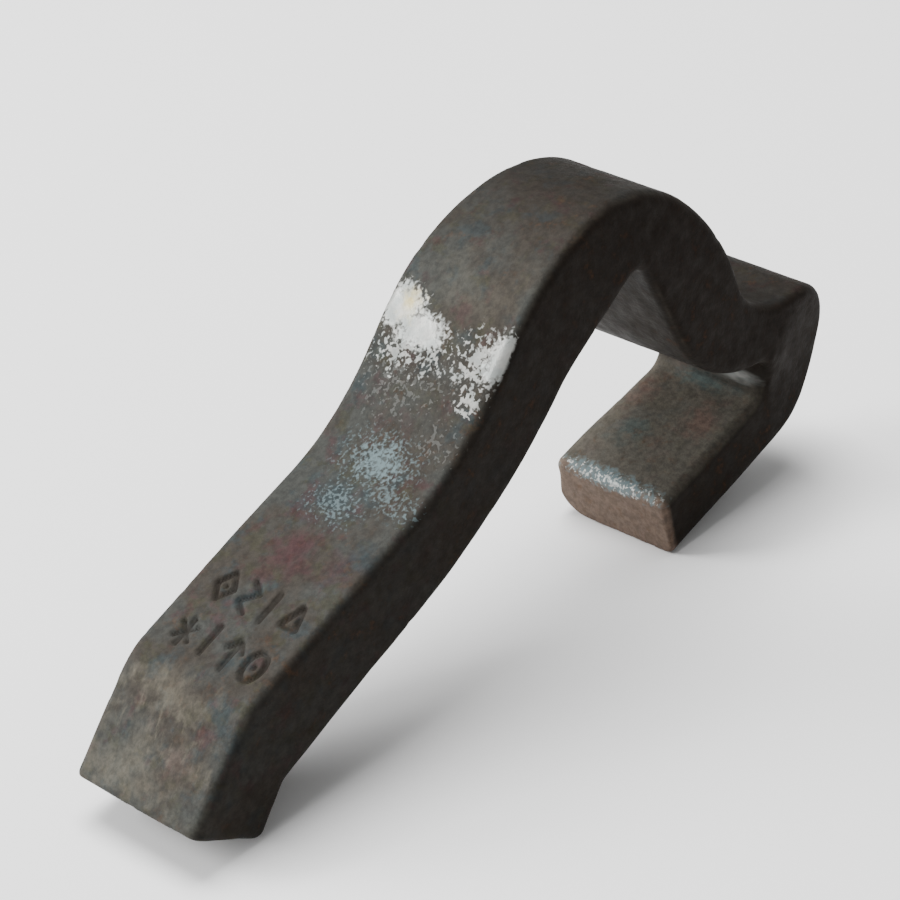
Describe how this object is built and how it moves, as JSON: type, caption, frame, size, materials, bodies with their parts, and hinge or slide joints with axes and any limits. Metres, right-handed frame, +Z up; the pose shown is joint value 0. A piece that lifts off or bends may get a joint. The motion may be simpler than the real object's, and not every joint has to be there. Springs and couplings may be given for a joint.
{
  "type": "rail anchor",
  "caption": "One-piece rail anchor of forged spring steel: a notched tip, an arched back and a narrow hook jaw that clip it across the underside of a rail's foot.",
  "frame": {"origin": "under the middle of the anchor's own box, on the surface that it rests on", "axes": "+X along the length from the notched tip to the hook, Y across the bar's width, +Z up"},
  "size_m": [0.1778, 0.03, 0.0811],
  "materials": {
    "forged_steel": "dark forging scale, matt to satin, mottled, worn bright on the edges and high spots"
  },
  "bodies": {
    "root": {"rail_anchor": "forged_steel"}
  },
  "joints": []
}
